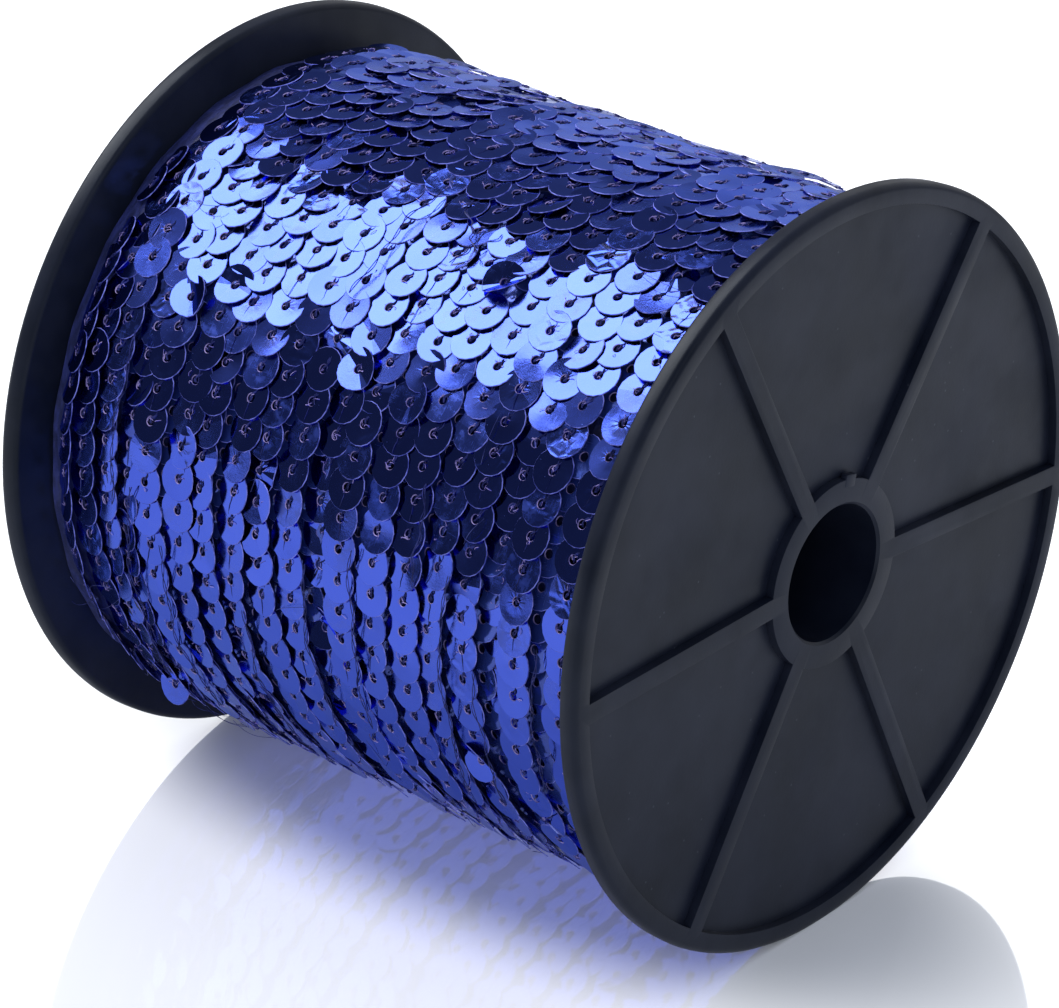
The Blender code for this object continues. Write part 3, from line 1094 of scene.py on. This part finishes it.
    def _tails(self, place: Placement) -> None:
        """Lay a fine strand from some of the holes down to the sequin's lower edge."""
        steps = 5
        template = self._strand(3, steps)
        chance = np.random.default_rng(53)
        tailed = place.picked(chance.random(len(place.angle)) < self.tail_share)
        count = len(tailed.angle)
        run = np.linspace(0.0, 1.0, steps + 1)
        local = np.zeros((count, steps + 1, 3))
        local[..., 0] = chance.normal(0.0, 0.5, count)[:, None] * run * MM
        local[..., 0] += chance.normal(0.0, 0.05, (count, steps + 1)) * MM
        local[..., 1] = (0.2 - 3.15 * run) * MM
        local[..., 2] = self.shape.thickness + (0.05 - 0.12 * run ** 6) * MM
        placed = self._along_path(template, tailed.set_down(local), np.full(count, 0.045 * MM))
        mesh = template.joined_mesh("thread_tails", placed, [self.finishes.thread])
        add_piece("thread_tails", mesh)

    def _gap_threads(self) -> None:
        """Show the thread of sunk turns, as twisted strands in the gaps between rows."""
        steps = 40
        template = self._strand(4, steps)
        run = np.linspace(0.0, 1.0, steps + 1)
        strands = []
        for number, (along, start, end) in enumerate(GAP_THREADS):
            chance = np.random.default_rng(400 + number)
            bends = chance.uniform(0.0, math.tau, 3)
            sway = 0.35 * np.sin(run * 9.0 + bends[0]) + 0.2 * np.sin(run * 21.0 + bends[1])
            arc = np.radians(start + (end - start) * run)
            for strand in (0.0, math.pi):
                twist = strand + bends[2] + run * (end - start) * 0.9
                x = (along[0] + (along[1] - along[0]) * run + sway + 0.16 * np.cos(twist)) * MM
                out = (46.35 + 0.12 * np.sin(run * 13.0 + bends[1]) + 0.12 * np.sin(twist)) * MM
                strands.append(np.stack([x, -out * np.cos(arc), out * np.sin(arc) + AXIS_HEIGHT], -1))
        path = np.stack(strands)
        placed = self._along_path(template, path, np.full(len(strands), 0.075 * MM))
        mesh = template.joined_mesh("gap_threads", placed, [self.finishes.thread])
        add_piece("gap_threads", mesh)

    def _wisps(self) -> None:
        """Scatter fine loose fibres over the winding, most of them low at the far end."""
        steps = 9
        template = self._strand(3, steps)
        chance = np.random.default_rng(77)
        count = self.wisp_count
        run = np.linspace(0.0, 1.0, steps + 1)
        low = chance.random(count) < 0.55
        along = np.where(low, chance.uniform(-39.5, -27.0, count), chance.uniform(-40.0, 43.0, count))
        angle = np.where(low, chance.uniform(-70.0, -15.0, count), chance.uniform(-70.0, 100.0, count))
        heading = chance.uniform(0.0, math.tau, count)[:, None]
        length = chance.uniform(2.5, 8.0, count)[:, None]
        curl = chance.normal(0.0, 1.6, count)[:, None]
        turn = heading + curl * run
        x = along[:, None] + np.cumsum(np.cos(turn), 1) / steps * length
        arc = np.radians(angle)[:, None] + np.cumsum(np.sin(turn), 1) / steps * length / 46.0
        rise = 46.1 + np.sin(run * math.pi) * chance.uniform(0.1, 0.9, count)[:, None]
        x = np.clip(x, -43.2, 44.6)
        path = np.stack([x * MM, -rise * np.cos(arc) * MM, rise * np.sin(arc) * MM + AXIS_HEIGHT], -1)
        placed = self._along_path(template, path, np.full(count, 0.035 * MM))
        mesh = template.joined_mesh("loose_fibres", placed, [self.finishes.wisp])
        add_piece("loose_fibres", mesh)

    def _core(self) -> None:
        """Make the dark inner winding that closes the gaps between the sequins."""
        work = bmesh.new()
        half = INNER_FACE - 0.1 * MM
        bmesh.ops.create_cone(
            work, cap_ends=False, segments=120, radius1=self.core_radius, radius2=self.core_radius,
            depth=2.0 * half, matrix=Matrix.Rotation(math.pi / 2, 4, "Y"),
        )
        long_edges = [edge for edge in work.edges if edge.calc_length() > half]
        bmesh.ops.subdivide_edges(work, edges=long_edges, cuts=56, use_grid_fill=True)
        for vert in work.verts:
            angle = math.atan2(vert.co.z, -vert.co.y)
            swell = math.sin(math.tau * (vert.co.x / TRIM_PITCH + angle / math.tau))
            ripple = math.sin(23.0 * angle + 900.0 * vert.co.x)
            vert.co.yz = vert.co.yz * (1.0 + (0.35 * swell + 0.15 * ripple) * MM / self.core_radius)
            vert.co.z += AXIS_HEIGHT
        bmesh.ops.recalc_face_normals(work, faces=work.faces)
        mesh = mesh_from(work, "winding_core", [self.finishes.core])
        add_piece("winding_core", mesh)

    def build(self) -> None:
        """Make the core, both layers, the thread and the loose fibres."""
        self._core()
        stray = (math.radians(-42.1), -33.9 * MM, 45.4 * MM, math.radians(50.0), math.radians(6.0))
        top = Layer(strays=(stray,))
        place = top.place()
        self._sequins("sequins_top", top, place, self.finishes.film)
        under = Layer(radius=top.radius - self.under_drop, shift=TRIM_PITCH / 2, seed=23)
        self._sequins("sequins_under", under, under.place(), self.finishes.shaded_sunk_film)
        self._thread(place)
        self._fuzz(place)
        self._tails(place)
        self._gap_threads()
        self._wisps()


class FloorShare(Enum):
    """Whether a light falls on the floor alone, or on everything but the floor."""

    ONLY = "INCLUDE"
    SPARED = "EXCLUDE"


@dataclass(frozen=True)
class Softbox:
    """A large plain area light."""

    name: str
    place: tuple[float, float, float]
    aim: tuple[float, float, float]
    size: tuple[float, float]
    radiance: float

    def build(self, floor: bpy.types.Object, share: FloorShare) -> None:
        """Hang the light and aim it.

        Args:
            floor: The floor.
            share: How the light and the floor go together.
        """
        data = bpy.data.lights.new(self.name, "AREA")
        data.shape = "RECTANGLE"
        data.size, data.size_y = self.size
        data.energy = self.radiance * math.pi * self.size[0] * self.size[1]
        lamp = bpy.data.objects.new(self.name, data)
        lamp.location = self.place
        heading = Vector(self.aim) - Vector(self.place)
        lamp.rotation_euler = heading.to_track_quat("-Z", "Y").to_euler()
        lamp.visible_camera = False
        bpy.context.scene.collection.objects.link(lamp)
        lit = bpy.data.collections.new(f"{self.name}_lights")
        lit.objects.link(floor)
        lit.collection_objects[0].light_linking.link_state = share.value
        lamp.light_linking.receiver_collection = lit


@dataclass
class Studio:
    """The camera, floor, background and soft lights."""

    lens: float = 173.32
    sensor: float = 36.0
    azimuth: float = 0.864743952
    elevation: float = 0.464280721
    distance: float = 13.17247 * FLANGE_RADIUS
    slide: tuple[float, float] = (-0.024363 * FLANGE_RADIUS, -0.105824 * FLANGE_RADIUS)
    floor_size: float = 24.0
    floor_white: tuple[float, float, float, float] = (0.90, 0.90, 0.91, 1.0)
    # Painted shade: the floor's greyer colours, as the reel's reflections see it.
    reflected_floor_shade: tuple[float, float, float, float] = (0.62, 0.62, 0.63, 1.0)
    reflected_floor_shade_behind: tuple[float, float, float, float] = (0.15, 0.15, 0.16, 1.0)
    mirror_light: float = 0.65
    glow_spread: tuple[float, float, float] = (1.0 / 0.052, 1.0 / 0.022, 0.0)
    softbox_heading: tuple[float, float, float] = (-0.754, -0.060, 0.653)
    room_white: tuple[float, float, float, float] = (0.97, 0.98, 1.0, 1.0)
    soft_sky: tuple[float, float, float, float] = (0.86, 0.94, 1.10, 1.0)

    def _camera(self) -> None:
        """Set the camera up where the photograph was taken from."""
        cos_el, sin_el = math.cos(self.elevation), math.sin(self.elevation)
        back = Vector((cos_el * math.cos(self.azimuth), -cos_el * math.sin(self.azimuth), sin_el))
        right = Vector((math.sin(self.azimuth), math.cos(self.azimuth), 0.0))
        up = back.cross(right)
        data = bpy.data.cameras.new("photo_camera")
        data.lens = self.lens
        data.sensor_width = self.sensor
        data.clip_start, data.clip_end = 0.01, 50.0
        camera = bpy.data.objects.new("photo_camera", data)
        turn = Matrix((right, up, back)).transposed().to_4x4()
        place = back * self.distance + right * self.slide[0] + up * self.slide[1]
        turn.translation = place + Vector((0.0, 0.0, AXIS_HEIGHT))
        camera.matrix_world = turn
        bpy.context.scene.collection.objects.link(camera)
        bpy.context.scene.camera = camera

    def _floor(self) -> bpy.types.Object:
        """Lay a pale floor with a slight polish, whose glow and colour hold painted light and shade."""
        work = bmesh.new()
        bmesh.ops.create_grid(work, x_segments=1, y_segments=1, size=self.floor_size / 2)
        mesh = bpy.data.meshes.new("floor")
        work.to_mesh(mesh)
        work.free()
        material, graph, shader = new_material("pale_floor")
        path = graph.add("ShaderNodeLightPath").outputs
        seen = path["Is Camera Ray"]
        place = graph.add("ShaderNodeTexCoord").outputs["Object"]
        span = graph.add("ShaderNodeVectorMath", operation="LENGTH")
        graph.feed(span.inputs[0], graph.shift(place, (0.0, 0.0, 0.0), self.glow_spread))
        # Painted light: to the camera the floor glows, faintly near the reel and fully away from it.
        glow = graph.range(span.outputs["Value"], 1.05, 1.9, 0.06, 0.76)
        away = graph.add("ShaderNodeVectorMath", operation="LENGTH")
        graph.feed(away.inputs[0], place)
        # Painted shade: to other rays the floor glows less near the reel and behind it.
        bounce = graph.range(away.outputs["Value"], 0.0, 0.22, 0.03, 0.50)
        depth = graph.add("ShaderNodeSeparateXYZ", {"Vector": place}).outputs["Y"]
        behind = graph.range(depth, 0.26, 0.55, 0.0, 1.0)
        bounce = graph.math("MULTIPLY", bounce, graph.range(behind, 0.0, 1.0, 1.0, 0.25))
        # Painted light: rays that reach the floor after two or more bounces see it glow brighter.
        mirrored = graph.math("MULTIPLY", graph.math("GREATER_THAN", path["Ray Depth"], 1.5), self.mirror_light)
        bounce = graph.math("ADD", bounce, mirrored)
        unseen = graph.math("SUBTRACT", 1.0, seen)
        lift = graph.math("ADD", graph.math("MULTIPLY", seen, glow), graph.math("MULTIPLY", unseen, bounce))
        graph.feed(shader.inputs["Emission Strength"], lift)
        shader.inputs["Emission Color"].default_value = (1.0, 1.0, 1.0, 1.0)
        # Painted shade: to rays other than the camera's the floor is grey, and dimmer behind the reel.
        painted_reflected_shade = graph.mix(behind, self.reflected_floor_shade, self.reflected_floor_shade_behind)
        graph.feed(shader.inputs["Base Color"], graph.mix(seen, painted_reflected_shade, self.floor_white))
        shader.inputs["Roughness"].default_value = 0.60
        shader.inputs["Specular IOR Level"].default_value = 0.0
        graph.feed(shader.inputs["Coat Weight"], seen)
        shader.inputs["Coat IOR"].default_value = 3.0
        shader.inputs["Coat Roughness"].default_value = 0.04
        mesh.materials.append(material)
        floor = bpy.data.objects.new("floor", mesh)
        bpy.context.scene.collection.objects.link(floor)
        return floor

    def _background(self) -> None:
        """Make the room: pale to the camera and to soft light, and dim in reflections."""
        world = bpy.data.worlds.new("studio")
        world.use_nodes = True
        graph = NodeGraph(world.node_tree)
        shader = world.node_tree.nodes["Background"]
        path = graph.add("ShaderNodeLightPath")
        heading = graph.add("ShaderNodeTexCoord").outputs["Generated"]
        parts = graph.add("ShaderNodeSeparateXYZ", {"Vector": heading})
        behind = graph.range(parts.outputs["Y"], 0.30, 0.62, 0.062, 0.16)
        backdrop = graph.range(parts.outputs["Y"], 0.62, 0.85, 0.0, 0.70)
        facing = graph.add("ShaderNodeVectorMath", operation="DOT_PRODUCT")
        graph.feed(facing.inputs[0], heading)
        graph.feed(facing.inputs[1], self.softbox_heading)
        halo = graph.range(facing.outputs["Value"], 0.88, 0.99, 0.0, 0.55)
        dim = graph.math("ADD", graph.math("ADD", behind, backdrop), halo)
        soft = graph.math("MULTIPLY", path.outputs["Is Diffuse Ray"], 0.80)
        level = graph.math("MAXIMUM", graph.math("MAXIMUM", dim, soft), path.outputs["Is Camera Ray"])
        graph.feed(shader.inputs["Strength"], level)
        tint = graph.mix(path.outputs["Is Diffuse Ray"], self.room_white, self.soft_sky)
        graph.feed(shader.inputs["Color"], tint)
        bpy.context.scene.world = world

    def build(self) -> None:
        """Make the whole studio."""
        bpy.context.scene.view_settings.view_transform = "Standard"
        self._camera()
        floor = self._floor()
        self._background()
        top = Softbox("top_softbox", (-0.75, -0.06, 0.65), (-0.75, -0.06, 0.0), (1.30, 0.50), 4.7)
        top.build(floor, FloorShare.SPARED)
        side = Softbox("side_softbox", (1.2, -0.2, 0.9), (0.0, 0.0, 0.05), (0.6, 0.6), 0.8)
        side.build(floor, FloorShare.SPARED)
        back = Softbox("back_softbox", (-1.74, 2.04, 1.34), (0.0, 0.0, 0.0), (1.9, 1.9), 1.6)
        back.build(floor, FloorShare.ONLY)


def main() -> None:
    """Build the studio, the reel and the winding in order."""
    logging.basicConfig(level=logging.INFO, format="%(name)s: %(message)s")
    Studio().build()
    finishes = FinishSet()
    flange = Flange(finishes)
    flange.build("near_flange", "flange_near", 1)
    flange.build("far_flange", "flange_far", -1)
    HubTube(finishes).build()
    SequinWinding(finishes).build()


if __name__ == "__main__":
    main()
